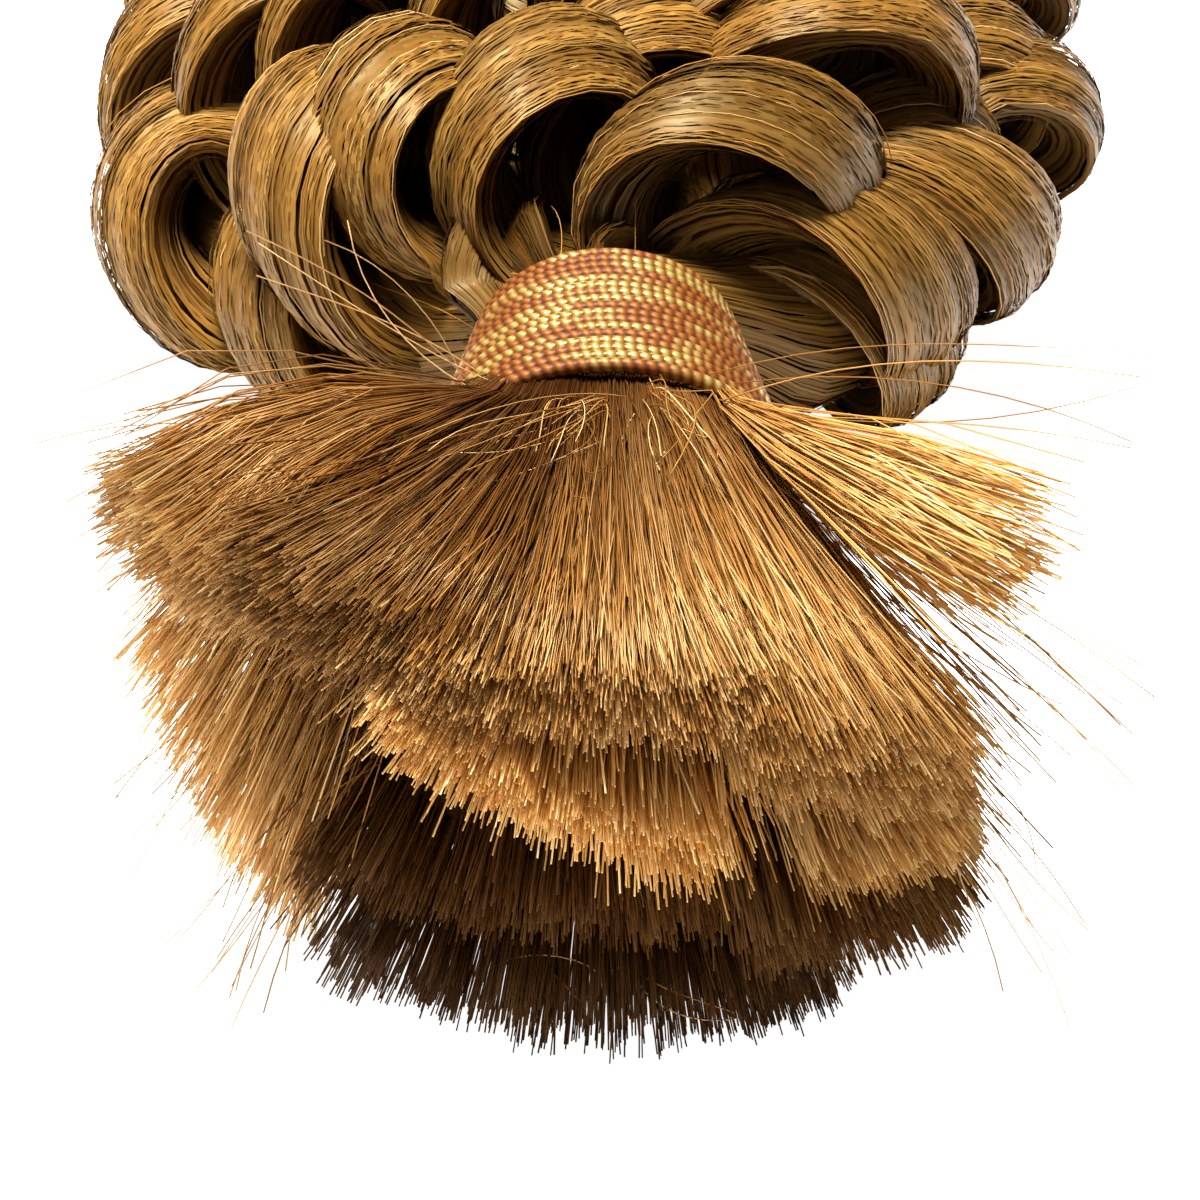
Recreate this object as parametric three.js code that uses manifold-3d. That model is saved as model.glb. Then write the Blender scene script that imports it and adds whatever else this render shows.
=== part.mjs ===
// Bulk hair extension: a bundle of waved hair tied with a wound thread, lying on a surface.
// Millimetres, +Z up. The cut ends face -Y, the waved length runs towards +Y.
// While the pieces are made, y = 0 is the near edge of the tie and z = 0 is the surface.
import * as THREE from 'three';
import { mergeVertices } from 'three/addons/utils/BufferGeometryUtils.js';
import Module from 'manifold-3d';

const wasm = await Module();
wasm.setup();

// Driving sizes
const AXIS_HEIGHT = 20;        // middle of the tie above the surface
const TIE_LENGTH = 19.5;
const TIE_NEAR = { wide: 13, high: 10.2 };   // half sizes over the thread at the cut-end side
const TIE_FAR = { wide: 9.5, high: 8.4 };    // and at the waved side
const THREAD_DIAMETER = 1.0;
const THREAD_PITCH = 1.08;     // from one turn to the next
const THREAD_STEPS = 12;       // sections for each turn
const THREAD_SIDES = 5;
const SEAT_GAP = 0.6;          // between the thread and the hair that it holds
const HELD_EASE = 0.1;         // by which the held hair keeps inside the room that the thread leaves
const MEETING_GAP = 0.3;       // between the two hair solids, hidden under the thread
const OVAL_SIDES = 14;
const ROOM_SIZE = 600;         // of the space above the surface, more than the part needs
const WELD = 1e-3;             // corners closer than this are one
const SLIVER = 0.08;           // edges shorter than this vanish where hair is fused

// Locks of the waved length
const LOCK_START = 16;         // where the locks part from each other, under the thread
const LOCK_WIDTH = 12.5;       // along the curl's axis
const LOCK_THICKNESS = 4.2;
const LOCK_ROOT_WIDTH = 4.0;
const LOCK_ROOT_THICKNESS = 3.4;
const LOCK_TIP_SHARE = 0.45;   // width left at the end of a lock
const CURL_PITCH = 26;         // advance for each turn of a curl
const CURL_RAMP = 14;          // the length in which a curl opens to its full radius
const WIDTH_RAMP = 16;
const TIP_RAMP = 24;
const LATE_SPREAD = 0.12;      // share of its lane that a lock still drifts outwards
const LATE_LENGTH = 60;
const CURL_STEPS = 6.2;        // sections for each turn
const NUDGE = 0.2;             // to either side of a point, for the direction of a curl there

// Each lock leaves the tie at (exitX, exitZ) from its middle, swings out to its lane within the fan
// length and lies straight as far as its start. From there it winds clockwise, seen from the cut
// end, with its first crest at that length along it.
const LOCK_TABLE = {
  columns: ['exitX', 'exitZ', 'laneX', 'laneZ', 'fan', 'start', 'crest', 'radius', 'end'],
  rows: [
    [4.4, 4.6, 12, 25.0, 30, 0, 16, 8.8, 121],
    [-1.2, 5.4, -6, 26.5, 32, 4, 22, 8.2, 125],
    [-4.4, 4.4, -18, 24.0, 34, 10, 27, 8.4, 122],
    [-6.4, 2.2, -25, 20.5, 36, 6, 30, 8.4, 117],
    [-6.2, -1.4, -33.5, 11.0, 42, 27, 51, 8.4, 112],
    [1.2, 2.6, 3, 24.5, 36, 13, 33, 7.8, 119],
    [1.8, 1.6, 18, 23.5, 36, 19, 38, 10.2, 123],
    [6.6, 1.0, 23, 15.5, 28, -4, 17, 7.2, 115],
    [5.8, -2.0, 28.5, 14.5, 38, 12, 32, 7.8, 118],
    [3.8, -4.4, 33, 12.0, 46, 36, 58, 7.8, 110],
    [-6.0, -3.4, -24, 10.0, 32, 12, 34, 8.0, 119],
    [5.4, -4.6, 22, 9.5, 30, 3, 20, 7.0, 120],
  ],
};

// A lock's section, as shares of its half width and half thickness
const LOCK_SECTION = [[-1, -0.4], [-0.4, 1], [0.4, 1], [1, -0.4]];

// Mass of hair inside the waved length, which carries the locks: sections in order of y
const CORE_TABLE = {
  columns: ['y', 'left', 'right', 'bottom', 'top'],
  rows: [
    [16, -6, 6, 15, 25],
    [24, -11, 11, 10, 26],
    [36, -25, 25, -1, 25],
    [54, -34, 34, -1, 25],
    [90, -38, 38, -1, 25],
    [103, -34, 34, -1, 22],
    [110, -22, 22, 3, 16],
  ],
};
// Its section, as shares from left to right and from bottom to top
const CORE_SECTION = [
  [0, 0.35], [0.12, 0.72], [0.28, 1], [0.72, 1],
  [0.88, 0.72], [1, 0.35], [0.85, 0], [0.15, 0],
];
const NECK_LENGTH = 5;         // of the held hair beyond the tie
const NECK_TAPER = 1;

// Strips of the cut-end brush
const STRIP_ROOT_Y = 8;        // where the strips part from the head, under the thread
const STRIP_ROOT_SPREAD = { wide: 8.5, high: 6.2 };   // half sizes that the roots of the strips fill
const STRIP_ROOT_HALF = 1.3;
const STRIP_STRAIGHT = 5;      // in front of the tie before a strip bends outwards
const STRIP_LEAN = 0.6;        // share of the reach at which a strip points at its tip
const STRIP_STATIONS = 4;
const FAN_YAW = 60;            // widest angle of the fan to either side, degrees
const FAN_PITCH = 25;          // and above or below its middle
const FAN_MIDDLE = -4;

// Terraces of cut tips: angles in degrees from the middle of the tie's near edge, a strip's reach from
// there in millimetres, how far it arches up on its way, and how many strips lie side by side.
const TERRACE_TABLE = {
  columns: ['yawFrom', 'yawTo', 'pitchFrom', 'pitchTo', 'reach', 'lift', 'strips', 'across', 'deep'],
  rows: [
    [-59, -43, 18, 16.5, 36.5, 9, 3, 11, 9],
    [-37, -17, 21, 16, 36.5, 3.5, 3, 12, 10],
    [-12, 9, 16, 14, 36.5, 2, 3, 13, 9],
    [17, 33, 10, -1, 37.0, 3, 3, 11, 11],
    [44, 48, 18, 22, 37.0, 5, 2, 6, 9],
    [-26, 9, 12, -2.5, 36.5, 0.5, 4, 13, 10],
    [21, 35, -7, -10, 36.5, 1, 2, 15, 8],
    [-43, -35, 4, -26, 36.0, 9, 3, 11, 13],
    [-17, 27, -11.5, -15, 35.5, 0, 3, 22, 8],
    [-12, 13, -26, -26, 36.5, 0, 2, 24, 11],
  ],
};

// A strip's section, as shares of its half width and half depth
const STRIP_SECTION = [[-1, -0.8], [-0.8, 0.8], [0.8, 0.8], [1, -0.8]];

// Head inside the brush: distance in front of the tie's near edge, half width and half height
const HEAD_TABLE = {
  columns: ['front', 'wide', 'high'],
  rows: [
    [27, 6, 4],
    [22, 12, 8],
    [13, 12, 8.5],
    [5, 11, 8.2],
    [0, 10.8, 8.0],
  ],
};

const HAIR_BLONDE = 0xb98a50;
const HAIR_ROOTS = 0xa87a45;
const THREAD_COPPER = 0xa8642c;
const HAIR_GLOSS = { roughness: 0.42, metalness: 0 };
const THREAD_GLOSS = { roughness: 0.35, metalness: 0.3 };

const UP = new THREE.Vector3(0, 0, 1);
const SIDEWAYS = new THREE.Vector3(1, 0, 0);

function records(table) {
  return table.rows.map((row) => Object.fromEntries(table.columns.map((name, i) => [name, row[i]])));
}

function smooth(value) {
  return THREE.MathUtils.smoothstep(value, 0, 1);
}

function mix(from, to, share) {
  return from + (to - from) * share;
}

function radians(degrees) {
  return THREE.MathUtils.degToRad(degrees);
}

// Closed body through rings of points, with a flat cap on the first and the last ring
function loft(rings) {
  const sides = rings[0].length;
  const positions = rings.flat().flatMap((point) => [point.x, point.y, point.z]);
  const index = [];
  for (let level = 0; level + 1 < rings.length; level += 1) {
    for (let side = 0; side < sides; side += 1) {
      const a = level * sides + side;
      const b = level * sides + (side + 1) % sides;
      index.push(a, b, b + sides, a, b + sides, a + sides);
    }
  }
  const last = (rings.length - 1) * sides;
  for (let side = 1; side + 1 < sides; side += 1) {
    index.push(0, side + 1, side);
    index.push(last, last + side, last + side + 1);
  }
  const geometry = new THREE.BufferGeometry();
  geometry.setAttribute('position', new THREE.Float32BufferAttribute(positions, 3));
  geometry.setIndex(index);
  return geometry;
}

// One section set out at a place: its middle, its two axes and its half sizes along them
function ring(section, { middle, across, out, halfWidth, halfDepth }) {
  return section.map(([u, v]) => middle.clone()
    .addScaledVector(across, u * halfWidth)
    .addScaledVector(out, v * halfDepth));
}

// Body of one section carried along a path, with place(share) for each station
function sweep(section, stations, place) {
  const shares = Array.from({ length: stations + 1 }, (_, station) => station / stations);
  return loft(shares.map((share) => ring(section, place(share))));
}

function roundSection(sides) {
  return Array.from({ length: sides }, (_, side) => {
    const angle = (side / sides) * 2 * Math.PI;
    return [Math.sin(angle), Math.cos(angle)];
  });
}

// Oval body about the tie's axis, from places { y, wide, high } in order of y
function ovalBody(places) {
  return loft(places.map(({ y, wide, high }) => ring(roundSection(OVAL_SIDES), {
    middle: new THREE.Vector3(0, y, AXIS_HEIGHT),
    across: SIDEWAYS,
    out: UP,
    halfWidth: wide,
    halfDepth: high,
  })));
}

function toSolid(geometry) {
  const bare = new THREE.BufferGeometry();
  bare.setAttribute('position', geometry.getAttribute('position').clone());
  bare.setIndex(geometry.index);
  const merged = mergeVertices(bare, WELD);
  return new wasm.Manifold(new wasm.Mesh({
    numProp: 3,
    vertProperties: new Float32Array(merged.getAttribute('position').array),
    triVerts: new Uint32Array(merged.index.array),
    tolerance: SLIVER,
  }));
}

function toGeometry(solid) {
  const mesh = solid.getMesh();
  const geometry = new THREE.BufferGeometry();
  geometry.setAttribute('position', new THREE.Float32BufferAttribute(mesh.vertProperties, 3));
  geometry.setIndex(Array.from(mesh.triVerts));
  const faceted = geometry.toNonIndexed();
  faceted.computeVertexNormals();
  return faceted;
}

// One body of hair from several that overlap: cut level with the surface, squeezed where the thread
// holds it, and without pockets sealed inside
function fuse(geometries) {
  const whole = geometries.map(toSolid).reduce((sum, next) => sum.add(next));
  const room = new THREE.BoxGeometry(ROOM_SIZE, ROOM_SIZE, ROOM_SIZE).translate(0, 0, ROOM_SIZE / 2);
  const held = whole.intersect(toSolid(room)).subtract(threadRoom());
  const bodies = toSolid(toGeometry(held)).decompose();
  const [largest] = bodies.sort((a, b) => b.volume() - a.volume());
  return toGeometry(largest);
}

// Half sizes of the tie at y, over the thread or a given depth below that
function tieHalf(y, depth = 0) {
  return {
    y,
    wide: mix(TIE_NEAR.wide, TIE_FAR.wide, y / TIE_LENGTH) - depth,
    high: mix(TIE_NEAR.high, TIE_FAR.high, y / TIE_LENGTH) - depth,
  };
}

function heldHalf(y) {
  return tieHalf(y, THREAD_DIAMETER + SEAT_GAP + HELD_EASE);
}

// Ring-shaped room that the thread takes up, with its clearance
function threadRoom() {
  const near = -SEAT_GAP;
  const far = TIE_LENGTH + SEAT_GAP;
  const outside = ovalBody([tieHalf(near, -SEAT_GAP), tieHalf(far, -SEAT_GAP)]);
  const depth = THREAD_DIAMETER + SEAT_GAP;
  const inside = ovalBody([tieHalf(near - SEAT_GAP, depth), tieHalf(far + SEAT_GAP, depth)]);
  return toSolid(outside).subtract(toSolid(inside));
}

// Wound thread
function tieWrap() {
  const half = THREAD_DIAMETER / 2;
  const turns = (TIE_LENGTH - THREAD_DIAMETER) / THREAD_PITCH;
  const across = new THREE.Vector3(0, -1, 0);
  return sweep(roundSection(THREAD_SIDES), Math.round(turns * THREAD_STEPS), (share) => {
    const { y, wide, high } = tieHalf(half + share * turns * THREAD_PITCH, half);
    const angle = share * turns * 2 * Math.PI;
    const middle = new THREE.Vector3(-wide * Math.sin(angle), y, AXIS_HEIGHT - high * Math.cos(angle));
    const out = new THREE.Vector3(-high * Math.sin(angle), 0, -wide * Math.cos(angle)).normalize();
    return { middle, across, out, halfWidth: half, halfDepth: half };
  });
}

// Middle line of a lock before it is curled
class Lane extends THREE.Curve {
  constructor(lock) {
    super();
    this.lock = lock;
  }

  getPoint(share) {
    const { exitX, exitZ, laneX, laneZ, fan, end } = this.lock;
    const run = share * (end - LOCK_START);
    const swing = smooth(run / fan);
    const drift = LATE_SPREAD * laneX * THREE.MathUtils.clamp((run - fan) / LATE_LENGTH, 0, 1);
    return new THREE.Vector3(
      mix(exitX, laneX, swing) + drift,
      LOCK_START + run,
      mix(AXIS_HEIGHT + exitZ, laneZ, swing),
    );
  }
}

function curledPoint(lane, length, along, lock) {
  const share = THREE.MathUtils.clamp(along / length, 0, 1);
  const forward = lane.getTangentAt(share);
  const side = forward.clone().cross(UP).normalize();
  const rise = side.clone().cross(forward);
  const turning = Math.max(along, lock.start) - lock.crest;
  const angle = Math.PI + (2 * Math.PI * turning) / CURL_PITCH;
  const out = side.multiplyScalar(-Math.sin(angle)).addScaledVector(rise, -Math.cos(angle));
  const radius = lock.radius * smooth((along - lock.start) / CURL_RAMP);
  return { point: lane.getPointAt(share).addScaledVector(out, radius), out };
}

function wavedLock(lock) {
  const lane = new Lane(lock);
  const length = lane.getLength();
  const stations = Math.round((length / CURL_PITCH) * CURL_STEPS);
  return sweep(LOCK_SECTION, stations, (share) => {
    const along = share * length;
    const { point, out } = curledPoint(lane, length, along, lock);
    const ahead = curledPoint(lane, length, Math.min(along + NUDGE, length), lock).point;
    const behind = curledPoint(lane, length, Math.max(along - NUDGE, 0), lock).point;
    const tangent = ahead.sub(behind).normalize();
    const across = tangent.clone().cross(out).normalize();
    const grown = smooth(along / WIDTH_RAMP);
    const tip = mix(LOCK_TIP_SHARE, 1, smooth((length - along) / TIP_RAMP));
    return {
      middle: point,
      across,
      out: across.clone().cross(tangent),
      halfWidth: (mix(LOCK_ROOT_WIDTH, LOCK_WIDTH, grown) * tip) / 2,
      halfDepth: (mix(LOCK_ROOT_THICKNESS, LOCK_THICKNESS, grown) * tip) / 2,
    };
  });
}

function wavedCore() {
  return loft(records(CORE_TABLE).map(({ y, left, right, bottom, top }) => CORE_SECTION
    .map(([u, v]) => new THREE.Vector3(mix(left, right, u), y, mix(bottom, top, v)))));
}

// Waved hair: the neck under the thread, the core and all locks, fused
function wavedLength() {
  const end = heldHalf(TIE_LENGTH);
  const neck = ovalBody([
    heldHalf(TIE_LENGTH / 2 + MEETING_GAP / 2),
    end,
    { y: TIE_LENGTH + NECK_LENGTH, wide: end.wide - NECK_TAPER, high: end.high - NECK_TAPER },
  ]);
  return fuse([neck, wavedCore(), ...records(LOCK_TABLE).map(wavedLock)]);
}

function brushStrip({ yaw, pitch, reach, lift, across, deep }) {
  const root = new THREE.Vector2(yaw / FAN_YAW, (pitch - FAN_MIDDLE) / FAN_PITCH).clampLength(0, 1);
  const rootX = root.x * STRIP_ROOT_SPREAD.wide;
  const rootZ = AXIS_HEIGHT + root.y * STRIP_ROOT_SPREAD.high;
  const level = Math.cos(radians(pitch));
  const aim = new THREE.Vector3(
    Math.sin(radians(yaw)) * level,
    -Math.cos(radians(yaw)) * level,
    Math.sin(radians(pitch)),
  );
  const centre = new THREE.Vector3(0, 0, AXIS_HEIGHT);
  const path = new THREE.CubicBezierCurve3(
    new THREE.Vector3(rootX, STRIP_ROOT_Y, rootZ),
    new THREE.Vector3(rootX, -STRIP_STRAIGHT, rootZ),
    centre.clone().addScaledVector(aim, reach * STRIP_LEAN).addScaledVector(UP, lift),
    centre.clone().addScaledVector(aim, reach),
  );
  const tipWidth = (reach * radians(across)) / 2;
  const tipDepth = (reach * radians(deep)) / 2;
  return sweep(STRIP_SECTION, STRIP_STATIONS, (share) => {
    const tangent = path.getTangent(share);
    const side = tangent.clone().cross(UP).normalize();
    return {
      middle: path.getPoint(share),
      across: side,
      out: side.clone().cross(tangent),
      halfWidth: mix(STRIP_ROOT_HALF, tipWidth, share),
      halfDepth: mix(STRIP_ROOT_HALF, tipDepth, share),
    };
  });
}

function terraceStrips(terrace) {
  const { yawFrom, yawTo, pitchFrom, pitchTo, strips } = terrace;
  return Array.from({ length: strips }, (_, i) => {
    const share = i / (strips - 1);
    return brushStrip({
      ...terrace,
      yaw: mix(yawFrom, yawTo, share),
      pitch: mix(pitchFrom, pitchTo, share),
    });
  });
}

// Cut ends: the head that runs in under the thread and all strips, fused
function cutEndBrush() {
  const places = records(HEAD_TABLE).map(({ front, wide, high }) => ({ y: -front, wide, high }));
  const head = ovalBody([...places, heldHalf(TIE_LENGTH / 2 - MEETING_GAP / 2)]);
  return fuse([head, ...records(TERRACE_TABLE).flatMap(terraceStrips)]);
}

function piece(name, geometry, color, gloss) {
  const mesh = new THREE.Mesh(geometry, new THREE.MeshStandardMaterial({ color, ...gloss }));
  mesh.name = name;
  return mesh;
}

const extension = new THREE.Group();
extension.name = 'bulk_hair_extension';
extension.add(
  piece('cut_end_brush', cutEndBrush(), HAIR_ROOTS, HAIR_GLOSS),
  piece('tie_wrap', tieWrap(), THREAD_COPPER, THREAD_GLOSS),
  piece('waved_length', wavedLength(), HAIR_BLONDE, HAIR_GLOSS),
);

// The origin is under the middle of the whole part, on the surface
const box = new THREE.Box3().setFromObject(extension);
const middle = box.getCenter(new THREE.Vector3());
extension.position.set(-middle.x, -middle.y, -box.min.z);

export default extension;
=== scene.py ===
import math

import bpy
import numpy as np
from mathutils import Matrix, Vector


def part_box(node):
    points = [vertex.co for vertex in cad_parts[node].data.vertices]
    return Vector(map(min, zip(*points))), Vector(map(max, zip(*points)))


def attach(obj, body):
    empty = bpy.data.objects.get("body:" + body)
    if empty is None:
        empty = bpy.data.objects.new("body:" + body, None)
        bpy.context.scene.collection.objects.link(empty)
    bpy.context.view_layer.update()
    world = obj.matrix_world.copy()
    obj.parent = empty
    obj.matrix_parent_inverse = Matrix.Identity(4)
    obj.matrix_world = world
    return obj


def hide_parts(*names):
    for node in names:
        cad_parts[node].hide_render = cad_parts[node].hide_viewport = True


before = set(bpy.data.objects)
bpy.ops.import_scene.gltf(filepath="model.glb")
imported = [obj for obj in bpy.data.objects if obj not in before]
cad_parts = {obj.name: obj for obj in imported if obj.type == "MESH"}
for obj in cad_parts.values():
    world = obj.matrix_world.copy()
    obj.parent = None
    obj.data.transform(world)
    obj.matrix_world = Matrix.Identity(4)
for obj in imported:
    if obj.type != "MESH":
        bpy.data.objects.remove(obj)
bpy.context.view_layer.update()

# Places are worked out in millimetres from the middle of the tie's near edge, with z = 0 on the floor
MM = 0.001
SEED = 11
AXIS_HEIGHT = 20.0
TIE_LENGTH = 19.5
TIE_NEAR_HALF = (13.0, 10.2)
TIE_FAR_HALF = (9.5, 8.4)
tie_low, tie_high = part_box("tie_wrap")
TIE_SHIFT = np.array([(tie_low.x + tie_high.x) / 2, tie_low.y, 0.0])

# Camera: distance from the tie's near edge, angle above it, and the photograph's frame
PHOTO_SIZE = 1200
FOCAL_PIXELS = 3000.0
CAMERA_DISTANCE = 200.0
CAMERA_RISE_DEG = 34.0
TIE_PIXEL = (607.0, 496.0)
SENSOR_MM = 36.0

# Waved locks
LOCK_START = 16.0
CURL_PITCH = 26.0
CURL_RAMP = 14.0
WIDTH_RAMP = 10.0
TIP_RAMP = 24.0
LATE_SPREAD = 0.12
LATE_LENGTH = 60.0
LANE_STEPS = 600
NUDGE = 0.2
LOCK_CLEARANCE = 0.1
LOCK_COLUMNS = (
    "exit_x", "exit_z", "lane_x", "lane_z", "fan", "start", "crest", "radius", "end", "hollow", "tone")
LOCK_ROWS = (
    (4.4, 4.6, 12, 25.0, 30, 0, 16, 8.8, 121, 0.66, 0.68),
    (-1.2, 5.4, -6, 26.5, 32, 4, 22, 8.2, 125, 0.68, 0.95),
    (-4.4, 4.4, -18, 24.0, 34, 10, 27, 8.4, 122, 0.76, 0.95),
    (-6.4, 2.2, -25, 20.5, 36, 6, 30, 8.4, 117, 0.84, 1.0),
    (-6.2, -1.4, -33.5, 11.0, 42, 27, 51, 8.4, 112, 1.00, 1.15),
    (1.2, 2.6, 3, 24.5, 36, 13, 33, 7.8, 119, 0.80, 1.15),
    (1.8, 1.6, 18, 23.5, 36, 19, 38, 10.2, 123, 0.76, 1.0),
    (6.6, 1.0, 23, 15.5, 28, -4, 17, 7.2, 115, 0.74, 0.88),
    (5.8, -2.0, 28.5, 14.5, 38, 12, 32, 7.8, 118, 0.88, 0.84),
    (3.8, -4.4, 33, 12.0, 46, 36, 58, 7.8, 110, 0.88, 0.8),
    (-6.0, -3.4, -24, 10.0, 32, 12, 34, 8.0, 119, 0.88, 1.0),
    (5.4, -4.6, 22, 9.5, 30, 3, 20, 7.0, 120, 0.88, 0.9),
    (-2.4, -4.8, -11, 10.0, 34, 14, 33, 7.6, 94, 0.88, 1.0),
    (0.8, -5.2, 3, 10.0, 34, 14, 34, 7.6, 94, 0.88, 1.0),
)

# Section of a lock: a crowned outer face, and a side that winds inwards
ROLL_WIDTH = 12.0
ROLL_CROWN = 1.8
ROLL_STATIONS = 66
ROLL_OFFSET = 0.6
TOP_POINTS = 16
INSIDE_POINTS = 9
BACK_EDGE = -0.75
BACK_SINK = 0.35
SINK_BEND = 0.85
ROOT_WIDTH_SHARE = 0.42
ROOT_CROWN_SHARE = 0.6
ROOT_HOLLOW_SHARE = 0.15
NARROW_EASE = 6.0
TIP_WIDTH_SHARE = 0.2
TIP_CROWN_SHARE = 0.5
TIP_HOLLOW_SHARE = 0.4
SWELL = 0.1
BODY_EASE = 0.16
BODY_MIDDLE_U = -0.25
BODY_MIDDLE_SINK = 0.3

# Strips of hair on a lock: a waver is its size and the slowest and quickest pace along the lock
COVERED_LOCKS = 12
STRIPS_OUTSIDE = 96
STRIPS_INSIDE = 44
STRIP_STATIONS = 90
STRIP_MARGIN = 0.1
STRIP_SCATTER = 0.25
STRIP_SHORTER = 4.0
STRIP_SHORTEST = 20.0
STRIP_WAVER = (0.45, 0.03, 0.09)
STRIP_RIPPLE = (0.15, 0.15, 0.3)
STAND_WAVER = (0.05, 0.05, 0.15)
TILT_WAVER = (0.1, 0.05, 0.2)
TILT_SCATTER = 0.12
BROAD_SHARE = 0.5
BROAD_HALF = (0.2, 0.32)
BROAD_STAND = (0.0, 0.05)
FINE_HALF = (0.05, 0.12)
FINE_STAND = (0.04, 0.12)
ROOT_STAND_SHARE = 0.4
RIDGE_WIDTH = 4.4
RIDGE_HEIGHT = 0.16
RIDGE_SWAY = 0.9
RIDGE_PACE = 0.11
RIDGE_SHADE = 0.7
BROAD_LIKENESS = 7.0
FINE_LIKENESS = 2.0
CORE_LIKENESS = 4.0

# Single hairs over the arches of a lock
ARCH_HAIRS = 9
ARCH_STEPS = 14
ARCH_FIRST = 1.0
ARCH_END = 4.0
ARCH_SCATTER = 2.5
ARCH_REACH = (0.22, 0.42)
ARCH_EDGE_SHARE = 0.4
ARCH_EDGE = (0.8, 1.06)
ARCH_FACE = (-0.9, 0.95)
ARCH_DRIFT = 0.04
ARCH_SINK = -0.35
ARCH_FLATNESS = 4
ARCH_STAND = (0.04, 0.3)
ARCH_RADIUS = (0.04, 0.07)
ARCH_SHADE = 0.75

# One lone hair that strays along a lock
LONE_STEPS = 120
LONE_START = 2.0
LONE_SPREAD = 5.6
LONE_HEIGHT = 1.0
LONE_LIFT = 0.35
LONE_TIP_SHARE = 0.45
LONE_ROOT_SHARE = 0.4
LONE_SWAY = 0.6
LONE_SIDE_PACE = (0.04, 0.16)
LONE_LIFT_PACE = (0.05, 0.2)
LONE_PHASE = 6.0
LONE_RADIUS = 0.05
LONE_SHADES = (0.8, 0.9)

# Hair between the locks: sections in order of y, and strips that cover its upper side
CORE_COLUMNS = ("y", "left", "right", "bottom", "top")
CORE_ROWS = (
    (12, -7, 7, 13.5, 26.5),
    (20, -7.5, 7.5, 13, 27),
    (26, -15, 16, 4, 24),
    (38, -27, 26, 2, 21),
    (56, -36, 34, 1, 19),
    (88, -38, 38, 1, 19),
    (100, -36, 36, 2, 18),
    (107, -22, 22, 4, 13),
)
CORE_STATIONS = 40
CORE_SIDES = 72
CORE_WAVES = 12
CORE_WAVE_HEIGHT = 0.5
CORE_WAVE_PACE = 0.24
CORE_FIBRES = 14
CORE_STRIPS = 420
CORE_STRIPS_END = 66.0
CORE_STRIP_STATIONS = 26
CORE_STRIP_BELOW = 0.3
CORE_STRIP_HALF = (0.006, 0.014)
CORE_STRIP_LIFT = (0.05, 0.3)
CORE_SWIRL = 0.25
CORE_SWIRL_PACE = 0.12
CORE_SWIRL_SCATTER = 0.5
CORE_SHADE_NEAR = 0.8
CORE_SHADE_FAR = 0.32
CORE_SHADE_FROM = 20.0
CORE_SHADE_LENGTH = 14.0

# Terraces of the cut end
ROOT_Y = 6.0
ROOT_HALF = (10.6, 8.3)
ROOT_SCATTER = 0.06
MOUTH_Y = -1.5
MOUTH_REACH = 4.0
MOUTH_SPREAD = 2.5
MOUTH_RISE = 1.12
LEAN_SHARE = 0.6
FAN_YAW_LEFT = 60.0
FAN_YAW_RIGHT = 46.0
FAN_PITCH = 25.0
FAN_MIDDLE = -4.0
TERRACE_COLUMNS = (
    "yaw_from", "yaw_to", "pitch_from", "pitch_to", "reach", "across", "deep", "lift", "turn", "root_rise",
    "ragged", "strands", "points", "root_shade", "tip_shade", "shadow")
# root_shade, tip_shade and shadow paint shade along each strand: dark at the roots and on the lower
# terraces, lighter at the tips, and a painted highlight where tip_shade is above 1
TERRACE_ROWS = (
    (-60, -43, 18, 16.5, 36.5, 6, 8, 11.0, 0, 0.1, 1.6, 1900, 6, 0.14, 1.1, 1.5),
    (-40, -15, 21, 16, 36.5, 6, 10, 4.0, 0, 0.1, 1.8, 2900, 5, 0.04, 0.55, 1.8),
    (-16, 12, 16, 14, 36.5, 6, 8, 2.5, 0, 0.1, 1.2, 2500, 5, 0.07, 1.2, 2.0),
    (15, 34, 10, -1, 37.0, 6, 10, 4.0, 4, 0.45, 1.2, 2600, 5, 0.16, 1.2, 1.8),
    (42, 49, 17, 22, 37.5, 7, 10, 6.0, 0, 0.1, 2.6, 420, 5, 0.7, 1.7, 1.4),
    (35, 40, 5, -19, 36.0, 4, 8, 2.0, 6, 0.0, 1.6, 560, 5, 0.2, 1.1, 1.6),
    (-20, 8, 11, -3, 36.5, 5, 7, 0.5, 0, 0.0, 1.2, 2200, 5, 0.01, 2.4, 9.0),
    (23, 35, -8, -11, 36.5, 6, 6, 1.0, 4, 0.2, 1.4, 850, 5, 0.01, 1.7, 12.0),
    (-49, -40, 8, -26, 36.5, 7, 8, 13.0, -8, 0.2, 2.6, 1300, 6, 0.1, 2.1, 3.4),
    (-33, 14, -16, -15, 34.5, 6, 6, 0.0, -3, 0.0, 1.0, 1500, 5, 0.01, 0.22, 6.0),
    (17, 36, -14, -21, 37.5, 6, 9, 0.5, 6, 0.0, 1.0, 1200, 5, 0.01, 0.26, 6.0),
    (-26, 22, -21, -26.5, 38.0, 8, 9, 0.0, 0, 0.0, 0.8, 1600, 5, 0.01, 0.10, 5.0),
)
STRAND_RADIUS = 0.058
STRAND_SPREAD = (0.8, 1.2)
STRAND_REACH = 0.35
STRAND_CLEARANCE = 0.15
FIRST_BEND = 0.24
LIFT_SPREAD = (0.5, 1.2)
STRAY_SHARE = 0.16
STRAY_ANGLE = 4.5
STRAY_PITCH_SHARE = 0.6
CLUMP_STRANDS = 30
CLUMP_PULL = 0.6
CLUMP_REACH = 0.4
CLUMP_ANGLE = 0.9
CLUMP_LIKENESS = 0.5
LEAN_SCATTER = 0.9
# Painted shade turns warmer as it darkens
SHADE_WARMTH = (0.82, 1.0, 1.2)
SHADED_TIP = 0.5

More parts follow.
